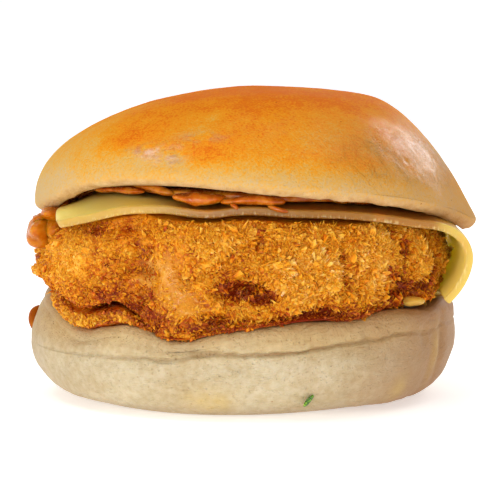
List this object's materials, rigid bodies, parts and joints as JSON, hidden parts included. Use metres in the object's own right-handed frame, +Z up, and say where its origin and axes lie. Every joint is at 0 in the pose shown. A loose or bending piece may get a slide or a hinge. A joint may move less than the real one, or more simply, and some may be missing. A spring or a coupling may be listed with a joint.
{
  "type": "chicken burger",
  "caption": "Crumbed chicken burger in a soft round bun with a cheese slice and cooked onion relish, resting flat on its heel.",
  "frame": {"origin": "centre of the burger's footprint, on the table under the heel of the bun", "axes": "+Z up from the table, -Y towards the served front, +X to the side where the cheese hangs down"},
  "size_m": [0.1118, 0.1059, 0.0761],
  "materials": {
    "bun_bottom": "pale soft bread, matt",
    "relish_bottom": "glazed cooked onion",
    "chicken_cutlet": "crisp fried crumb",
    "cheese_slice": "soft mild cheese, satin",
    "relish_top": "glazed cooked onion",
    "bun_top": "glazed golden crust"
  },
  "bodies": {
    "root": {"bun_bottom": "bun_bottom", "relish_bottom": "relish_bottom", "chicken_cutlet": "chicken_cutlet", "cheese_slice": "cheese_slice", "relish_top": "relish_top", "bun_top": "bun_top"}
  },
  "joints": []
}
